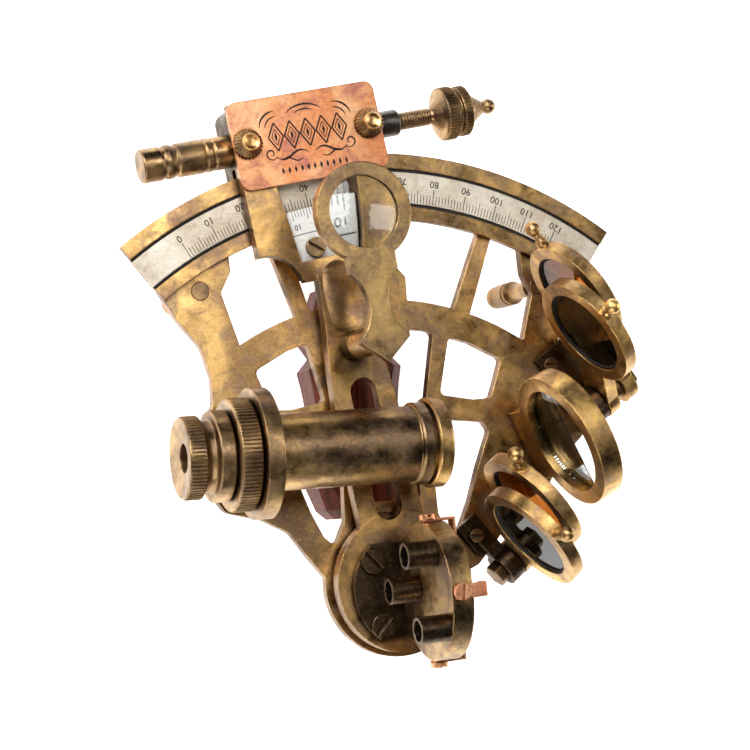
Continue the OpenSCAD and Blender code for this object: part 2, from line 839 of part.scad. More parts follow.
// Spring clips around the plate's edge, each a strap with a lip in front of the glass and a slotted screw
module mirror_clips() {
    reach = mirror_x[1] + 3.5;
    color(copper) on_mirror() translate([0, mirror_y, mirror_z]) for (a = clip_angles)
        rotate([a - 90, 0, 0]) {
            slab([mirror_x[0] + 0.6, reach], [-1.8, 1.8], [index_r, index_r + 0.6]);
            slab([reach - 0.6, reach], [-1.8, 1.8], [index_r - 3.6, index_r + 0.5]);
            translate([0.1, 0, index_r + 0.6]) rotate([0, 0, 80]) slotted_head(2.2, 1.3);
        }
}

module index_glass() {
    color("#dfe6e6") on_mirror() upright_x(mirror_x[1] - 1.8, mirror_x[1] + 0.9)
        translate([mirror_y, mirror_z]) circle(r = 15);
}

/* ---- Horizon mirror ---- */

horizon_block_x = [-10, 10];
horizon_screw_at = [for (x = [-6.5, 6.5])
    [horizon_at[0] + x * cos(horizon_dir) - 4 * sin(horizon_dir),
    horizon_at[1] + x * sin(horizon_dir) + 4 * cos(horizon_dir)]];

module on_horizon() {
    on_upright(horizon_at, 0, horizon_dir) children();
}

module horizon_ring() {
    color(brass) on_horizon() difference() {
        union() {
            translate([0, 0, sight_z]) rod_y(horizon_r, 0, horizon_t);
            slab(horizon_block_x, [0, 8.4], [lattice_top, 6.4]);
        }
        translate([0, 0, sight_z]) rod_y(horizon_glass_r - 0.6, -1, 20);
        translate([0, 0, sight_z]) rod_y(horizon_glass_r, 2.2, 20);
        for (x = [-6.5, 6.5]) translate([x, 4, lattice_top - 1]) cylinder(r = 1.25, h = 5);
    }
}

module horizon_glass() {
    color("#cfe0e0", 0.5) on_horizon() translate([0, 0, sight_z]) rod_y(horizon_glass_r, 2.2, 4.2);
}

// Silvered half, on the side towards the frame
module horizon_silver() {
    color("#dfe6e6") on_horizon() intersection() {
        translate([0, 0, sight_z]) rod_y(horizon_glass_r, 4.2, 4.6);
        slab([-30, 30], [0, 10], [0, sight_z]);
    }
}

/* ---- Shades ---- */

bracket_y = [-6.5, -2.1];
index_screw_local = [-12.2, -6];
horizon_screw_local = [-15.5, -4.8];
shade_screw_index = hinge_point(index_hinge, index_shade_dir, index_screw_local);
shade_screw_horizon = hinge_point(horizon_hinge, horizon_shade_dir, horizon_screw_local);

function hinge_point(hinge, dir, spot) =
    [hinge[0] + spot[0] * cos(dir) - spot[1] * sin(dir),
    hinge[1] + spot[0] * sin(dir) + spot[1] * cos(dir)];

// Turned knob on a collar and a stalk, standing on a shade's rim
module shade_knob() {
    ball = 5.2;
    rotate_extrude($fn = 48) polygon(concat([[0, -1], [1.65, -1], [1.65, 1.5], [1.15, 2.1], [1.15, 3.4]],
        [for (a = [-50:20:70]) [2.1 * cos(a), ball + 2.1 * sin(a)]], [[0, ball + 2.1]]));
}

// Ring on a lug, with its bolt on Y: angle and reach place the ring's middle
module shade(reach, angle, knob_angle) {
    middle = [reach * cos(angle), 0, reach * sin(angle)];
    half = shade_t / 2;
    difference() {
        union() {
            translate(middle) rod_y(shade_r, -half, half);
            rod_y(lug_r, -half, half);
            rotate([0, -angle, 0]) slab([0, reach - shade_open_r - 1], [-half, half], [-4.6, 4.6]);
            translate(middle) rotate([0, 90 - knob_angle, 0]) translate([0, 0, shade_r]) shade_knob();
        }
        translate(middle) rod_y(shade_open_r, -9, 9);
        translate(middle) rod_y(shade_glass_r, -0.9, 9);
        rod_y(bolt_r + run_gap, -9, 9);
    }
}

module shade_glass(reach, angle) {
    translate([reach * cos(angle), 0, reach * sin(angle)]) rod_y(shade_glass_r, -0.9, 1.1);
}

// Bolt through both shades and the bracket, with a hexagon head and a washer between the shades
module shade_bolt() {
    far_y = shade_pitch + shade_t / 2;
    rod_y(bolt_r, bracket_y[0], far_y + 2.3);
    rotate([90, 0, 0]) translate([0, 0, -bracket_y[0]]) cylinder(r = 3.4, h = 2.6, $fn = 6);
    translate([0, far_y + 0.2, 0]) rotate([-90, 0, 0]) cylinder(r = 3.4, h = 1.6, $fn = 6);
    difference() {
        rod_y(3.4, shade_t / 2 + 0.2, shade_pitch - shade_t / 2 - 0.2);
        rod_y(bolt_r - 0.2, 0, 10);
    }
}

module index_shade_bracket() {
    foot_z = [lattice_top - index_hinge[2], 1.6];
    color(bronze) on_index_hinge() difference() {
        union() {
            rod_y(4.9, bracket_y[0], bracket_y[1]);
            slab([-17, 0], bracket_y, foot_z);
            slab([-17, -7.5], [-8.6, bracket_y[1]], [foot_z[0], foot_z[0] + 2]);
        }
        rod_y(bolt_r, -20, 20);
        translate([index_screw_local[0], index_screw_local[1], -10]) cylinder(r = 1.2, h = 20);
    }
}

module index_shade_bolt() {
    color(bronze) on_index_hinge() shade_bolt();
}

module index_shade_dark() {
    color(brass) on_index_hinge() shade(index_reach, index_angles[0], 90);
}

module index_shade_amber() {
    color(brass) on_index_hinge() translate([0, shade_pitch, 0])
        shade(index_reach, index_angles[1], 139);
}

module horizon_shade_bracket() {
    foot_z = lattice_top - horizon_hinge[2];
    color(bronze) on_horizon_hinge() difference() {
        union() {
            rod_y(4.9, bracket_y[0], bracket_y[1]);
            slab([-4.9, 4.9], bracket_y, [foot_z, 0]);
            slab([-19, -3.6], [-7.4, 6.2], [foot_z, foot_z + 2]);
            slab([-4, 4.9], [-7.4, 0.6], [foot_z, foot_z + 2]);
        }
        rod_y(bolt_r, -20, 20);
        translate([horizon_screw_local[0], horizon_screw_local[1], -20]) cylinder(r = 1.2, h = 30);
    }
}

module horizon_shade_bolt() {
    color(bronze) on_horizon_hinge() shade_bolt();
}

module horizon_shade_dark() {
    color(brass) on_horizon_hinge() shade(horizon_reach[0], horizon_angles[0], 103);
}

module index_dark_glass() {
    color("#2a3230", 0.7) on_index_hinge() shade_glass(index_reach, index_angles[0]);
}

module index_amber_glass() {
    color("#b5531c", 0.7) on_index_hinge() translate([0, shade_pitch, 0])
        shade_glass(index_reach, index_angles[1]);
}

module horizon_dark_glass() {
    color("#2a3230", 0.7) on_horizon_hinge() shade_glass(horizon_reach[0], horizon_angles[0]);
}

module horizon_amber_glass() {
    color("#b5531c", 0.7) on_horizon_hinge() translate([0, shade_pitch, 0])
        shade_glass(horizon_reach[1], horizon_angles[1]);
}

module horizon_shade_amber() {
    color(brass) on_horizon_hinge() translate([0, shade_pitch, 0])
        shade(horizon_reach[1], horizon_angles[1], 177);
}

/* ---- Screws of the frame ---- */

// Screw with its head on top and its thread down to the height low
module frame_screw(at, low, head_low, head_r, thread) {
    translate([at[0], at[1], 0]) {
        translate([0, 0, low]) cylinder(r = thread, h = head_low - low);
        translate([0, 0, head_low]) slotted_head(head_r, 1.1);
    }
}

module frame_screws() {
    color(steel) on_face() {
        for (at = [bracket_screw_low, bracket_screw_high])
            frame_screw(at, lattice_low - bracket_t, lattice_top, 2.4, 1.25);
        for (at = holder_screw_at) frame_screw(at, lattice_low + 0.2, 0, 1.8, 1.2);
        frame_screw(shade_screw_index, lattice_low + 0.2, index_hinge[2] + 1.6, 1.9, 1.2);
        frame_screw(shade_screw_horizon, lattice_low + 0.2, lattice_top + 2, 1.9, 1.2);
        for (at = horizon_screw_at) translate([0, 0, lattice_low])
            mirror([0, 0, 1]) frame_screw(at, -lattice_t - 3.8, 0, 2.4, 1.25);
    }
}

frame();
limb();
scale();
left_foot();
right_foot();
lower_foot();
centre_bearing();
grip();
grip_rod();
grip_nuts();
upper_bracket();
lower_bracket();
frame_screws();
pivot_shaft();
pivot_nut();
index_arm();
vernier();
vernier_screws();
clamp_box();
cover_plate();
cover_screw_left();
cover_screw_right();
spring_barrel();
plunger_spring();
clamp_slider();
plunger();
tangent_bush();
tangent_screw();
magnifier_post();
magnifier_arm();
magnifier_lens();
telescope_holder();
telescope_tube();
objective_ring();
objective_lens();
lock_ring();
eyepiece();
eyepiece_lens();
mirror_base();
mirror_base_screws();
mirror_plate();
mirror_sockets();
socket_screws();
mirror_clips();
index_glass();
horizon_ring();
horizon_glass();
horizon_silver();
index_shade_bracket();
index_shade_bolt();
index_shade_amber();
index_shade_dark();
index_amber_glass();
index_dark_glass();
horizon_shade_bracket();
horizon_shade_bolt();
horizon_shade_amber();
horizon_shade_dark();
horizon_amber_glass();
horizon_dark_glass();
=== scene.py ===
"""Looks of a brass sextant: engraving, knurling, retaining rings, aged metals, wood and glass."""

import json
import math

import bpy
from mathutils import Matrix, Vector


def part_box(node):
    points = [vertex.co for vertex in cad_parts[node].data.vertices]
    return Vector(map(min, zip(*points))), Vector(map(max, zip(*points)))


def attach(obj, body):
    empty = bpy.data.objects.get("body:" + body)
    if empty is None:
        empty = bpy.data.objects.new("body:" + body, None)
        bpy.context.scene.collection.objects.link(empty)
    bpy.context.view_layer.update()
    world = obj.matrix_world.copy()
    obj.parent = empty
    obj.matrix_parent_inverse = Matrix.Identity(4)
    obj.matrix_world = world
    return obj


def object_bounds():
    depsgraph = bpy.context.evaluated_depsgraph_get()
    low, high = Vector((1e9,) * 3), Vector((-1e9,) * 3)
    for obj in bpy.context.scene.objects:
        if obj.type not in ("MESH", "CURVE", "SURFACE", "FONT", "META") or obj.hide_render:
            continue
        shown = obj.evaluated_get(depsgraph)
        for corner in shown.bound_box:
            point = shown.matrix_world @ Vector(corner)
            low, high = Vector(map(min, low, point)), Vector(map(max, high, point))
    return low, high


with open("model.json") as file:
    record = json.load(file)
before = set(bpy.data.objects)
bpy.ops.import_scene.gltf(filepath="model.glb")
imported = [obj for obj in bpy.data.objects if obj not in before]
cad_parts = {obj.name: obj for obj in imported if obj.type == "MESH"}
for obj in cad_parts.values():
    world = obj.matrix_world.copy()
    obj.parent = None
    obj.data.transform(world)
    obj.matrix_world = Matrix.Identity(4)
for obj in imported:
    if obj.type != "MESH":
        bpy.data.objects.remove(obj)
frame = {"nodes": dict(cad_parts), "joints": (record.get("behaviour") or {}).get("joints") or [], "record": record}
cad_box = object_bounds()

MM = 0.001
X_AXIS = Vector((1, 0, 0))
Y_AXIS = Vector((0, 1, 0))
UP = Vector((0, 0, 1))
JOINTS = {joint["name"]: joint for joint in frame["joints"]}
SLOT_OF = {part["node"]: part["material_slot"] for part in frame["record"]["subparts"]}
PIVOT = Vector(JOINTS["index_swing"]["pos_m"])


def basis(origin, x_axis, y_axis, z_axis):
    """Matrix of a frame with these axes, whose local units are millimetres."""
    turn = Matrix((x_axis, y_axis, z_axis)).transposed().to_4x4()
    return Matrix.Translation(origin) @ turn @ Matrix.Scale(MM, 4)


def around(axis, origin):
    """Frame whose Z lies along axis."""
    side = axis.cross(UP).normalized()
    return basis(origin, side, axis.cross(side), axis)


ARM_X = Vector(JOINTS["clamp_slide"]["axis"]).normalized()
ARM_Y = UP.cross(ARM_X)
ON_FACE = basis(Vector((PIVOT.x, PIVOT.y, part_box("limb")[1].z)), X_AXIS, Y_AXIS, UP)
ON_ARM = basis(ON_FACE.translation, ARM_X, ARM_Y, UP)


# ---- Node graphs ----


class Graph:
    """A material's nodes, with short calls for the ones used here."""

    def __init__(self, name):
        self.material = bpy.data.materials.new(name)
        self.material.use_nodes = True
        self.nodes = self.material.node_tree.nodes
        self.links = self.material.node_tree.links
        self.shader = self.nodes["Principled BSDF"]
        self.place = self.node("ShaderNodeTexCoord").outputs["Object"]

    def node(self, kind, settings=None, **inputs):
        made = self.nodes.new(kind)
        for key, value in (settings or {}).items():
            setattr(made, key, value)
        for key, value in inputs.items():
            self.put(made.inputs[key], value)
        return made

    def put(self, socket, value):
        if isinstance(value, bpy.types.NodeSocket):
            self.links.new(value, socket)
        else:
            socket.default_value = value

    def set(self, **inputs):
        for key, value in inputs.items():
            self.put(self.shader.inputs[key.replace("_", " ")], value)

    def stretched(self, x, y, z):
        """Object coordinates in features of these sizes, in millimetres."""
        made = self.node("ShaderNodeMapping")
        made.inputs["Scale"].default_value = (1 / (x * MM), 1 / (y * MM), 1 / (z * MM))
        self.links.new(self.place, made.inputs["Vector"])
        return made.outputs["Vector"]

    def noise(self, size, detail=4.0, roughness=0.55, distortion=0.0):
        sizes = size if isinstance(size, tuple) else (size, size, size)
        made = self.node("ShaderNodeTexNoise", Vector=self.stretched(*sizes), Detail=detail)
        made.inputs["Scale"].default_value = 1.0
        made.inputs["Roughness"].default_value = roughness
        made.inputs["Distortion"].default_value = distortion
        return made.outputs["Fac"]

    def ramp(self, value, low, high, start=0.0, end=1.0):
        made = self.node("ShaderNodeMapRange", {"interpolation_type": "SMOOTHSTEP"}, Value=value)
        for key, number in (("From Min", low), ("From Max", high), ("To Min", start), ("To Max", end)):
            made.inputs[key].default_value = number
        return made.outputs["Result"]

    def mix(self, factor, first, second):
        made = self.node("ShaderNodeMix", {"data_type": "RGBA"})
        self.put(made.inputs[0], factor)
        for socket, value in ((made.inputs[6], first), (made.inputs[7], second)):
            self.put(socket, value if isinstance(value, bpy.types.NodeSocket) else (*value, 1.0))
        return made.outputs[2]

    def math(self, how, first, second=0.0):
        made = self.node("ShaderNodeMath", {"operation": how})
        self.put(made.inputs[0], first)
        self.put(made.inputs[1], second)
        return made.outputs[0]

    def bump(self, height, strength, distance, normal=None):
        made = self.node("ShaderNodeBump", Height=height, Strength=strength, Distance=distance * MM)
        if normal is not None:
            self.links.new(normal, made.inputs["Normal"])
        return made.outputs["Normal"]


def aged_metal(name, bright, body, stain, dark, wear, patina, rough=(0.24, 0.46), metal=1.0, wall_shade=0.0,
               polish=1.0):
    """Old metal: bright on rubbed edges, stained in clouds, with painted shade in corners, fine scratches and
    pits.

    The wall setting paints shade on the upright faces, darker than the flat tops. polish is how much of
    the surface the bright clouds take."""
    g = Graph(name)
    clouds = g.ramp(g.noise(17.0, 5.0, 0.6, 0.6), 0.36, 0.62)
    stains = g.ramp(g.noise(9.0, 6.0, 0.65, 1.2), 0.5 - 0.12 * patina, 0.74 - 0.1 * patina)
    pits = g.ramp(g.noise(0.55, 3.0, 0.7), 0.66, 0.74)
    brushed = g.noise((5.0, 0.22, 5.0), 3.0, 0.6)
    mottle = g.noise(0.9, 5.0, 0.7)
    scratches = g.ramp(g.noise((0.16, 7.0, 0.5), 4.0, 0.7, 0.3), 0.66, 0.76)
    rounded = g.node("ShaderNodeBevel", {"samples": 4}, Radius=0.45 * MM).outputs["Normal"]
    flat = g.node("ShaderNodeNewGeometry").outputs["Normal"]
    facing = g.node("ShaderNodeVectorMath", {"operation": "DOT_PRODUCT"})
    g.links.new(rounded, facing.inputs[0])
    g.links.new(flat, facing.inputs[1])
    edges = g.ramp(facing.outputs["Value"], 0.995, 0.86, 0.0, wear)
    rubbed = g.math("MULTIPLY", edges, g.ramp(g.noise(2.2, 4.0), 0.3, 0.62, 0.25, 1.0))
    # Painted shade: the colour turns dark where ambient occlusion finds corners and recesses.
    corners = g.node("ShaderNodeAmbientOcclusion", {"samples": 6}, Distance=3.2 * MM).outputs["AO"]
    painted_corner_shade = g.ramp(corners, 0.78, 0.3, 0.0, 0.82)

    colour = g.mix(g.math("MULTIPLY", clouds, polish), body, bright)
    colour = g.mix(g.math("MULTIPLY", stains, 0.35 + 0.55 * patina), colour, stain)
    colour = g.mix(g.ramp(brushed, 0.35, 0.7, 0.0, 0.1), colour, dark)
    colour = g.mix(g.ramp(mottle, 0.5, 0.7, 0.0, 0.3), colour, dark)
    colour = g.mix(g.ramp(mottle, 0.5, 0.32, 0.0, 0.3), colour, bright)
    colour = g.mix(g.math("MULTIPLY", pits, 0.55), colour, dark)
    # Lay the painted corner shade over the colour.
    colour = g.mix(painted_corner_shade, colour, dark)
    # Painted shade: upright faces are darkened towards dark and stain, as if turned away from the light.
    if wall_shade:
        level = g.node("ShaderNodeSeparateXYZ")
        g.links.new(flat, level.inputs["Vector"])
        upright = g.ramp(g.math("ABSOLUTE", level.outputs["Z"]), 0.75, 0.3, 0.0, wall_shade)
        colour = g.mix(upright, colour, g.mix(clouds, dark, stain))
    colour = g.mix(g.math("MAXIMUM", rubbed, g.math("MULTIPLY", scratches, 0.3)), colour, bright)
    roughness = g.ramp(g.noise(6.0, 6.0, 0.7, 0.4), 0.3, 0.7, *rough)
    roughness = g.math("ADD", roughness, g.math("MULTIPLY", stains, 0.1))
    height = g.math("ADD", g.math("MULTIPLY", brushed, 0.3), g.math("MULTIPLY", pits, -0.8))
    height = g.math("ADD", height, g.math("MULTIPLY", g.noise(1.6, 5.0, 0.6), 0.5))
    g.set(Base_Color=colour, Metallic=metal, Roughness=roughness)
    g.set(Normal=g.bump(height, 0.22, 0.09, rounded))
    return g.material


def rosewood(name):
    """Oiled dark red wood with streaks and pores along Y."""
    g = Graph(name)
    streaks = g.noise((2.2, 46.0, 2.2), 5.0, 0.6, 0.8)
    fine = g.noise((0.28, 7.0, 0.28), 4.0, 0.7)
    pores = g.ramp(g.noise((0.2, 3.2, 0.2), 2.0, 0.6), 0.64, 0.72)
    colour = g.mix(g.ramp(streaks, 0.34, 0.64), (0.045, 0.010, 0.006), (0.19, 0.042, 0.022))
    colour = g.mix(g.ramp(fine, 0.4, 0.75, 0.0, 0.45), colour, (0.30, 0.085, 0.045))
    colour = g.mix(g.math("MULTIPLY", pores, 0.8), colour, (0.03, 0.008, 0.005))
    height = g.math("SUBTRACT", g.math("MULTIPLY", fine, 0.5), pores)
    rounded = g.node("ShaderNodeBevel", {"samples": 4}, Radius=0.7 * MM).outputs["Normal"]
    g.set(Base_Color=colour, Roughness=g.ramp(fine, 0.3, 0.7, 0.42, 0.6))
    g.set(Coat_Weight=0.1, Coat_Roughness=0.3, Normal=g.bump(height, 0.35, 0.12, rounded))
    return g.material


def clear_glass(name, colour, smudge):
    """Transparent glass with a trace of dust and finger marks."""
    g = Graph(name)
    marks = g.ramp(g.noise(4.5, 6.0, 0.7, 1.4), 0.52, 0.8)
    dust = g.ramp(g.noise(0.4, 2.0, 0.6), 0.72, 0.78)
    g.set(Base_Color=g.mix(g.math("MULTIPLY", marks, 0.35), colour, smudge), Transmission_Weight=1.0)
    clean, smeared = 0.015, 0.09
    roughness = g.math("ADD", g.math("MULTIPLY", dust, 0.25), g.ramp(marks, 0, 1, clean, smeared))
    g.set(IOR=1.5, Roughness=roughness)
    return g.material


def silvered_mirror(name):
    """Bright mirror with faint tarnish."""
    g = Graph(name)
    marks = g.ramp(g.noise(7.0, 6.0, 0.7, 1.0), 0.5, 0.8)
    g.set(Base_Color=g.mix(marks, (0.86, 0.89, 0.89), (0.66, 0.66, 0.62)), Metallic=1.0)
    g.set(Roughness=g.ramp(marks, 0, 1, 0.03, 0.16))
    return g.material


def black_ink(name):
    """Filler in engraved lines and grooves: dull black that has crumbled in places."""
    g = Graph(name)
    crumbs = g.noise(0.5, 5.0, 0.7)
    g.set(Base_Color=g.mix(g.ramp(crumbs, 0.45, 0.75), (0.012, 0.010, 0.009), (0.075, 0.055, 0.04)))
    g.set(Roughness=g.ramp(crumbs, 0.3, 0.7, 0.5, 0.8), Normal=g.bump(crumbs, 0.4, 0.08))
    return g.material


FINISH = {
    "brass": aged_metal("aged_brass", (0.88, 0.57, 0.22), (0.44, 0.275, 0.12), (0.32, 0.215, 0.16),
                        (0.055, 0.034, 0.02), wear=0.85, patina=0.65),
    "bronze": aged_metal("dark_bronze", (0.58, 0.385, 0.19), (0.25, 0.165, 0.10), (0.21, 0.15, 0.115),
                         (0.03, 0.02, 0.014), wear=0.7, patina=0.5, rough=(0.26, 0.48)),
    "copper": aged_metal("tarnished_copper", (0.97, 0.56, 0.31), (0.84, 0.36, 0.17), (0.44, 0.15, 0.17),
                         (0.16, 0.055, 0.035), wear=0.6, patina=0.55, rough=(0.34, 0.55)),
    "silvered": aged_metal("silvered_brass", (0.88, 0.80, 0.68), (0.76, 0.67, 0.54), (0.58, 0.47, 0.35),
                           (0.22, 0.16, 0.11), wear=0.3, patina=0.5, rough=(0.36, 0.55), metal=0.6),
    "steel": aged_metal("darkened_steel", (0.47, 0.43, 0.39), (0.20, 0.175, 0.155), (0.16, 0.125, 0.10),
                        (0.03, 0.025, 0.022), wear=0.6, patina=0.4, rough=(0.26, 0.45)),
    "wood": rosewood("rosewood"),
    "lens": clear_glass("lens_glass", (0.93, 0.97, 0.96), (0.80, 0.84, 0.82)),
    "amber": clear_glass("amber_glass", (0.50, 0.17, 0.03), (0.36, 0.13, 0.035)),
    "dark": clear_glass("dark_glass", (0.012, 0.015, 0.015), (0.02, 0.022, 0.02)),
    "mirror": silvered_mirror("mirror_silver"),
}
INK = black_ink("black_filler")
POLISHED_CUP = aged_metal("polished_cup", (0.92, 0.58, 0.27), (0.80, 0.45, 0.18), (0.60, 0.32, 0.14),
                          (0.12, 0.06, 0.03), wear=0.5, patina=0.2)
# Cast and dull brass below carry painted shade on their upright faces.
CAST_BRASS = aged_metal("cast_brass", (0.88, 0.57, 0.23), (0.44, 0.275, 0.125), (0.35, 0.24, 0.185),
                        (0.05, 0.034, 0.022), wear=0.95, patina=0.75, wall_shade=0.85)
DULL_BRASS = aged_metal("dull_brass", (0.70, 0.47, 0.20), (0.29, 0.195, 0.12), (0.25, 0.17, 0.13),
                        (0.045, 0.03, 0.019), wear=0.8, patina=0.6, wall_shade=0.3)
BLACKENED = aged_metal("blackened_bronze", (0.42, 0.29, 0.16), (0.07, 0.048, 0.032), (0.10, 0.07, 0.05),
                       (0.018, 0.013, 0.01), wear=0.6, patina=0.3, rough=(0.28, 0.5), polish=0.15)
# Near-white, barely metallic silver: partly the plate's own silvering, partly a painted reflection of bright
# light.
SILVER_AND_SHEEN = aged_metal("silver_and_painted_sheen", (0.95, 0.94, 0.91), (0.90, 0.88, 0.84), (0.74, 0.69, 0.62),
                          (0.35, 0.30, 0.25), wear=0.3, patina=0.25, rough=(0.34, 0.5), metal=0.15)
OWN_FINISH = {
    "frame": CAST_BRASS,
    "limb": CAST_BRASS,
    "index_arm": CAST_BRASS,
    "magnifier_arm": DULL_BRASS,
    "telescope_tube": DULL_BRASS,
    "mirror_plate": DULL_BRASS,
    "mirror_base": BLACKENED,
    "mirror_base_screws": BLACKENED,
    "mirror_sockets": BLACKENED,
    "socket_screws": BLACKENED,
    "magnifier_post": BLACKENED,
    "clamp_box": BLACKENED,
    "horizon_shade_bracket": BLACKENED,
    "index_shade_bracket": BLACKENED,
    "vernier": SILVER_AND_SHEEN,
}


def finish_cad_nodes():
    for name, node in frame["nodes"].items():
        node.data.materials.clear()
        node.data.materials.append(OWN_FINISH.get(name, FINISH[SLOT_OF[name]]))


# ---- Building blocks ----


def linked(name, data):
    """New object in the scene for a mesh, curve, lamp or camera."""
    made = bpy.data.objects.new(name, data)
    bpy.context.scene.collection.objects.link(made)
    return made


def polar(r, clockwise):
    """Point at this radius and this clockwise angle from +Y, in degrees."""
    angle = math.radians(clockwise)
    return r * math.sin(angle), r * math.cos(angle)


class Shape:
    """Points and faces of several closed bits joined into one mesh."""

    def __init__(self):
        self.points = []
        self.faces = []

    def loft(self, rings, closed=False):
        """Joins rings of equal length; caps both ends, or closes the loft on itself."""
        base, count, sides = len(self.points), len(rings), len(rings[0])
        for ring in rings:
            self.points.extend(ring)
        for i in range(count if closed else count - 1):
            a, b = base + i * sides, base + (i + 1) % count * sides
            for k in range(sides):
                n = (k + 1) % sides
                self.faces.append((a + k, b + k, b + n, a + n))
        if not closed:
            self.faces.append(tuple(range(base, base + sides)))
            last = base + (count - 1) * sides
            self.faces.append(tuple(reversed(range(last, last + sides))))

    def bar(self, start, end, width, low, high):
        """Straight flat bar between two points in the plane."""
        along = (Vector(end) - Vector(start)).normalized()
        self.ribbon([start, end], [width, width], low, high, along)

    def ribbon(self, path, widths, low, high, along=None):
        """Flat strip along a path in the plane, as wide as widths say at each point."""
        rings = []
        for i, spot in enumerate(path):
            ahead, behind = path[min(i + 1, len(path) - 1)], path[max(i - 1, 0)]
            way = along or (Vector(ahead) - Vector(behind)).normalized()
            half = Vector((-way.y, way.x)) * widths[i] / 2
            left, right = Vector(spot) + half, Vector(spot) - half
            rings.append([(*left, low), (*right, low), (*right, high), (*left, high)])
        self.loft(rings)

    def ribs(self, profile, count, height, share=0.62):
        """Ridges around Z that follow a profile of (radius, z) points."""
        spread = math.pi / count * share
        for i in range(count):
            middle = 2 * math.pi * i / count
            rings = []
            for r, z in profile:
                corners = ((r - 0.12, -spread), (r - 0.12, spread), (r + height, spread * 0.3),
                           (r + height, -spread * 0.3))
                rings.append([(q * math.cos(middle + a), q * math.sin(middle + a), z) for q, a in corners])
            self.loft(rings)

    def turned(self, profile, steps=72):
        """Ring turned about Z from a closed profile of (radius, z) points."""
        rings = []
        for i in range(steps):
            a = 2 * math.pi * i / steps
            rings.append([(r * math.cos(a), r * math.sin(a), z) for r, z in profile])
        self.loft(rings, closed=True)

    def band(self, r_in, r_out, start, end, low, high, steps=120):
        """Sector of a flat ring about the pivot."""
        rings = []
        for i in range(steps + 1):
            a = start + (end - start) * i / steps
            inner, outer = polar(r_in, a), polar(r_out, a)
            rings.append([(*inner, low), (*outer, low), (*outer, high), (*inner, high)])
        self.loft(rings)

    def make(self, name, body, material, matrix):
        """Mesh whose points are in matrix's millimetres, riding on a CAD body."""
        mesh = bpy.data.meshes.new(name)
        mesh.from_pydata([matrix @ Vector(p) for p in self.points], [], self.faces)
        mesh.materials.append(material)
        mesh.update()
        made = linked(name, mesh)
        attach(made, body)


def number(name, text, height, clockwise, radius, top, body, matrix):
    """Dial number that stands on the arc with its head towards the pivot."""
    curve = bpy.data.curves.new(name, "FONT")
    curve.body = text
    curve.size = height * 1.42
    curve.align_x = "CENTER"
    curve.align_y = "CENTER"
    curve.extrude = 0.03
    curve.resolution_u = 3
    draft = linked(name, curve)
    bpy.context.view_layer.update()
    mesh = bpy.data.meshes.new_from_object(draft)
    bpy.data.objects.remove(draft)
    x, y = polar(radius, clockwise)
    turn = Matrix.Rotation(math.radians(180 - clockwise), 4, "Z")
    mesh.transform(matrix @ Matrix.Translation((x, y, top)) @ turn)
    mesh.materials.clear()
    mesh.materials.append(INK)
    made = linked(name, mesh)
    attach(made, body)


# ---- Scale and vernier ----

SCALE_IN, SCALE_OUT = 101.7, 110.1
SCALE_TOP = -0.05
GROOVE = 0.8
DIVISION = 0.5
FIRST_ANGLE = -30.0
ARC_HALF = 37.2
LINE_START = SCALE_IN + 0.3
SCALE_NUMBER_R = 107.7
VERNIER_OUT = 101.9
VERNIER_DIVISION = 0.475
VERNIER_NUMBER_R = 97.6
VERNIER_NUMBER_DIVISION = 0.44
INK_DEPTH = 0.05
INK_RISE = 0.02


def scale_marks():
    """Lines of the arc's scale, one to each division, longer at fives and tens."""
    marks = Shape()
    for unit in range(0, 121):
        a = FIRST_ANGLE + unit * DIVISION
        length = 4.3 if unit % 10 == 0 else 3.4 if unit % 5 == 0 else 2.5
        width = 0.2 if unit % 10 == 0 else 0.16
        start, end = polar(LINE_START, a), polar(LINE_START + length, a)
        marks.bar(start, end, width, SCALE_TOP - INK_DEPTH, SCALE_TOP + INK_RISE)
    marks.make("scale_marks", "frame", INK, ON_FACE)
    for unit in range(0, 121, 10):
        a = FIRST_ANGLE + unit * DIVISION
        number("scale_number_%d" % unit, str(unit), 1.9, a, SCALE_NUMBER_R, SCALE_TOP, "frame", ON_FACE)


def groove_filler():
    """Black wax in the grooves beside the scale."""
    wax = Shape()
    for r in (SCALE_IN - GROOVE, SCALE_OUT):
        wax.band(r + 0.03, r + GROOVE - 0.03, -ARC_HALF, ARC_HALF, -0.89, -0.42)
    wax.make("groove_filler", "frame", INK, ON_FACE)


def vernier_marks():
    """Vernier lines against the scale's inner edge, and the engraved line across its plate."""
    top = (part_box("vernier")[1].z - ON_ARM.translation.z) / MM
    low, high = top - INK_DEPTH, top + INK_RISE
    marks = Shape()
    for i in range(-10, 11):
        length = 2.6 if i % 5 == 0 else 1.7
        a = i * VERNIER_DIVISION
        marks.bar(polar(VERNIER_OUT - length, a), polar(VERNIER_OUT, a), 0.13, low, high)
    marks.band(95.4, 95.6, -5.6, 5.6, low, high, 30)
    marks.make("vernier_marks", "index_arm", INK, ON_ARM)
    for i, text in ((-10, "10"), (0, "0"), (10, "10")):
        a = i * VERNIER_NUMBER_DIVISION
        number("vernier_number_%d" % (i + 10), text, 1.5, a, VERNIER_NUMBER_R, top, "index_arm", ON_ARM)


# ---- Ornament on the cover plate ----


def spiral(centre, start_r, end_r, start, turn, steps=26):
    """Path that winds from one radius to another, in degrees."""
    path = []
    for i in range(steps + 1):
        t = i / steps
        a = math.radians(start + turn * t)
        r = start_r + (end_r - start_r) * t ** 0.8
        path.append((centre[0] + r * math.cos(a), centre[1] + r * math.sin(a)))
    return path


def swelling(count, widest):
    """Widths of a pen stroke, thin at both ends."""
    return [0.1 + widest * math.sin(math.pi * (i + 0.5) / count) for i in range(count)]


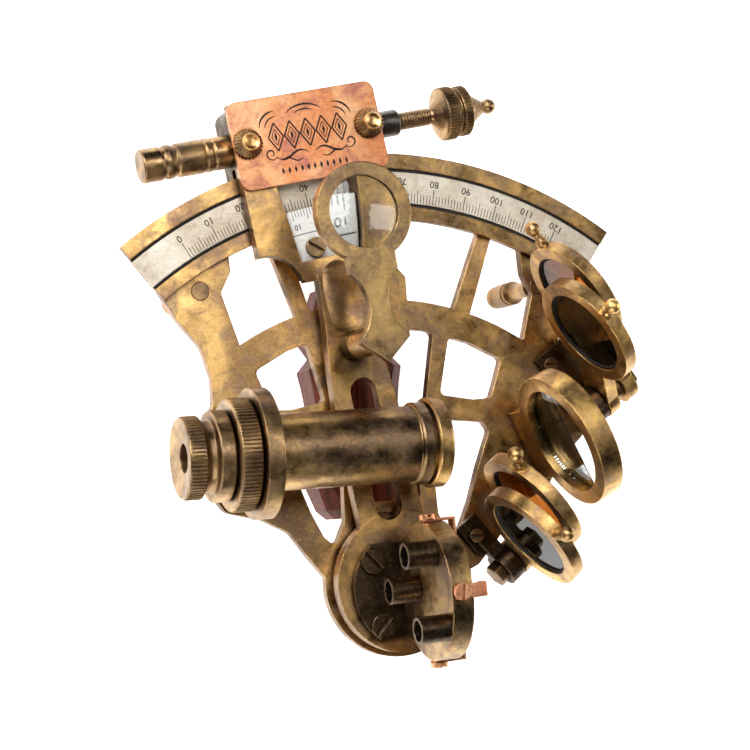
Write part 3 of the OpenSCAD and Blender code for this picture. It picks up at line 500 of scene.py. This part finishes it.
def oval(centre, across, height, start, end, steps=24):
    """Path along an ellipse, from one angle to another."""
    path = []
    for i in range(steps + 1):
        a = math.radians(start + (end - start) * i / steps)
        path.append((centre[0] + across * math.cos(a), centre[1] + height * math.sin(a)))
    return path


def ripple(side, start, end, y, height, steps=20):
    """Path of one wave that runs away from the middle on this side."""
    path = []
    for i in range(steps + 1):
        t = i / steps
        path.append((side * (start + (end - start) * t), y + height * math.sin(2 * math.pi * t)))
    return path


def cover_ornament():
    """Engraved frieze of lozenges between arcs and scrolls."""
    plate_top = (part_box("cover_plate")[1].z - ON_ARM.translation.z) / MM
    bottom, top = plate_top - 0.06, plate_top + 0.025
    frieze_y = 121.4
    row_y = 112.3
    diamond = [0.08, 0.8, 0.08]
    cut = Shape()
    for i in range(-2, 3):
        x = 4.5 * i
        for across, height, width in ((2.1, 3.7, 0.42), (1.2, 2.2, 0.22)):
            lozenge = oval((x, frieze_y), across, height, 0, 360, 4)
            for k in range(4):
                cut.bar(lozenge[k], lozenge[k + 1], width, bottom, top)
        cut.ribbon([(x, frieze_y - 1.3), (x, frieze_y), (x, frieze_y + 1.3)], diamond, bottom, top)
    for i in range(-5, 6):
        x = 1.8 * i
        cut.ribbon([(x, row_y - 0.9), (x, row_y), (x, row_y + 0.9)], diamond, bottom, top)
    strokes = [(oval((0, 125.4), 5.6, 3.5, 150, 30), 0.42), (oval((0, 125.4), 3.6, 2.2, 140, 40), 0.3)]
    for side in (-1, 1):
        outward = 90 - side * 84
        strokes.extend((
            (oval((side * 8.2, 124.0), 4.8, 4.3, 90, outward), 0.42),
            (oval((side * 8.0, 123.8), 3.5, 3.0, 90, outward), 0.3),
            (ripple(side, 0.9, 10.2, 116.2, 0.9), 0.48),
            (ripple(side, 2.6, 8.6, 115.0, -0.6), 0.3),
            (spiral((side * 11.2, 117.2), 1.9, 0.4, 90 + side * 120, side * 430), 0.34),
        ))
    for path, widest in strokes:
        cut.ribbon(path, swelling(len(path), widest), bottom, top)
    cut.make("cover_ornament", "index_arm", INK, ON_ARM)


# ---- Knurling ----


def telescope_knurling():
    """Straight knurls on the eyepiece's cap and on the lock ring."""
    centre = Vector(JOINTS["lock_ring_turn"]["pos_m"])
    spot = around(X_AXIS, Vector((0, centre.y, centre.z)))
    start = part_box("eyepiece")[0].x / MM + 0.5
    profile = [(10.14, start), (10.2, start + 0.3), (10.2, start + 3.7), (10.1, start + 4.0)]
    cap = Shape()
    cap.ribs(profile, 64, 0.26)
    cap.make("eyepiece_knurl", "eyepiece", FINISH["bronze"], spot)
    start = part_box("lock_ring")[0].x / MM + 0.35
    profile = [(13.9, start), (14.0, start + 0.3), (14.0, start + 4.6), (13.9, start + 4.9)]
    ring = Shape()
    ring.ribs(profile, 84, 0.3)
    ring.make("lock_ring_knurl", "lock_ring", FINISH["bronze"], spot)


def tangent_knurling():
    """Knurls on both discs of the tangent screw."""
    centre = Vector(JOINTS["tangent_turn"]["pos_m"])
    centre -= ARM_X * centre.dot(ARM_X)
    spot = around(ARM_X, centre)
    discs = Shape()
    discs.ribs([(6.85, 41.4), (7.0, 41.7), (7.0, 44.5), (6.85, 44.9)], 52, 0.27)
    discs.ribs([(6.5, 46.4), (6.6, 46.7), (6.6, 48.5), (6.5, 48.8)], 50, 0.27)
    discs.make("tangent_screw_knurl", "tangent_screw", FINISH["bronze"], spot)


def thumb_screw_knurling():
    """Ribs over the domed heads of the two thumb screws, and the dished button on top."""
    for side in ("left", "right"):
        name = "cover_screw_" + side
        low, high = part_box(name)
        spot = basis(Vector(((low.x + high.x) / 2, (low.y + high.y) / 2, high.z)), X_AXIS, Y_AXIS, UP)
        dome = Shape()
        dome.ribs([(3.62, -4.0), (3.72, -3.3), (3.66, -2.6), (3.05, -1.85), (2.45, -1.15)], 26, 0.32)
        dome.make(name + "_ribs", name, FINISH["bronze"], spot)
        button = Shape()
        button.turned([(0.1, -0.48), (1.2, -0.33), (1.85, 0.02), (2.15, 0.06), (2.45, -0.3), (2.3, -0.9),
                       (0.1, -0.9)])
        button.make(name + "_button", name, POLISHED_CUP, spot)


# ---- Rings that hold the glasses ----

HORIZON_TURN = -66


def retaining_rings():
    """Black threaded rings on both sides of each shade's glass, and behind the horizon glass."""
    for family in ("index", "horizon"):
        for tint in ("dark", "amber"):
            low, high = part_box(family + "_" + tint + "_glass")
            axis = Vector(JOINTS[family + "_" + tint + "_swing"]["axis"]).normalized()
            spot = around(axis, (low + high) / 2)
            body = family + "_shade_" + tint
            rings = Shape()
            rings.turned([(11.7, 1.02), (12.85, 1.02), (12.85, 1.62), (12.2, 1.7), (11.85, 1.5)])
            rings.turned([(11.4, -1.02), (12.15, -1.02), (12.15, -1.5), (11.7, -1.5)])
            rings.make(body + "_retainer", body, INK, spot)
    low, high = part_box("horizon_glass")
    angle = math.radians(HORIZON_TURN)
    axis = Vector((-math.sin(angle), math.cos(angle), 0))
    spot = around(axis, (low + high) / 2)
    rings = Shape()
    rings.turned([(14.2, 1.45), (15.28, 1.45), (15.28, 2.2), (14.6, 2.2)])
    rings.make("horizon_retainer", "frame", FINISH["bronze"], spot)


# ---- Stage ----


def pale_floor():
    """Paper that the instrument lies on."""
    half, low = 2500, -0.2
    corners = [(-half, -half, low), (half, -half, low), (half, half, low), (-half, half, low)]
    mesh = bpy.data.meshes.new("floor")
    mesh.from_pydata([Vector(corner) * MM for corner in corners], [], [(0, 1, 2, 3)])
    g = Graph("floor_paper")
    g.set(Base_Color=g.mix(g.noise(60.0, 3.0), (0.93, 0.93, 0.935), (0.95, 0.95, 0.95)), Roughness=0.8)
    g.set(Emission_Color=(1.0, 1.0, 1.0, 1.0), Emission_Strength=0.75)
    mesh.materials.append(g.material)
    plane = linked("floor", mesh)


def soft_lamps():
    """Square lamps: name, place from the object's middle, size in metres and power."""
    target = (cad_box[0] + cad_box[1]) / 2
    lamps = (
        ("key", (-0.55, 0.5, 0.7), 0.6, 8.4),
        ("fill", (0.8, 0.05, 0.4), 0.3, 2.0),
        ("front", (-0.3, -0.75, 0.5), 0.45, 3.2),
        ("top", (0.04, 0.28, 1.1), 0.4, 2.7),
    )
    for name, spot, size, power in lamps:
        data = bpy.data.lights.new(name, "AREA")
        data.size = size
        data.energy = power
        lamp = linked(name, data)
        lamp.location = target + Vector(spot)
        lamp.rotation_mode = "QUATERNION"
        lamp.rotation_quaternion = (-Vector(spot)).to_track_quat("-Z", "Y")


def dim_sky():
    """White light from all round, stronger at the horizon than overhead."""
    world = bpy.data.worlds.new("studio")
    world.use_nodes = True
    bpy.context.scene.world = world
    nodes, links = world.node_tree.nodes, world.node_tree.links
    place = nodes.new("ShaderNodeTexCoord")
    split = nodes.new("ShaderNodeSeparateXYZ")
    links.new(place.outputs["Generated"], split.inputs["Vector"])
    shade = nodes.new("ShaderNodeMapRange")
    for key, setting in (("From Min", -0.1), ("From Max", 1.0), ("To Min", 0.5), ("To Max", 0.2)):
        shade.inputs[key].default_value = setting
    links.new(split.outputs["Z"], shade.inputs["Value"])
    links.new(shade.outputs["Result"], nodes["Background"].inputs["Strength"])


def set_camera():
    data = bpy.data.cameras.new("camera")
    data.lens = 103.36
    data.sensor_width = 36.0
    data.clip_start = 0.01
    camera = linked("camera", data)
    place = Vector((-0.2004, 0.0206, 0.5707))
    right = Vector((0.9376, -0.0753, 0.3394))
    up = Vector((0.0502, 0.9953, 0.0823))
    back = right.cross(up).normalized()
    turn = Matrix((right, back.cross(right), back)).transposed().to_4x4()
    camera.matrix_world = Matrix.Translation(place) @ turn
    bpy.context.scene.camera = camera
    bpy.context.scene.view_settings.view_transform = "Standard"
    bpy.context.scene.view_settings.look = "Medium High Contrast"


pale_floor()
soft_lamps()
dim_sky()
set_camera()
finish_cad_nodes()
scale_marks()
groove_filler()
vernier_marks()
cover_ornament()
telescope_knurling()
tangent_knurling()
thumb_screw_knurling()
retaining_rings()
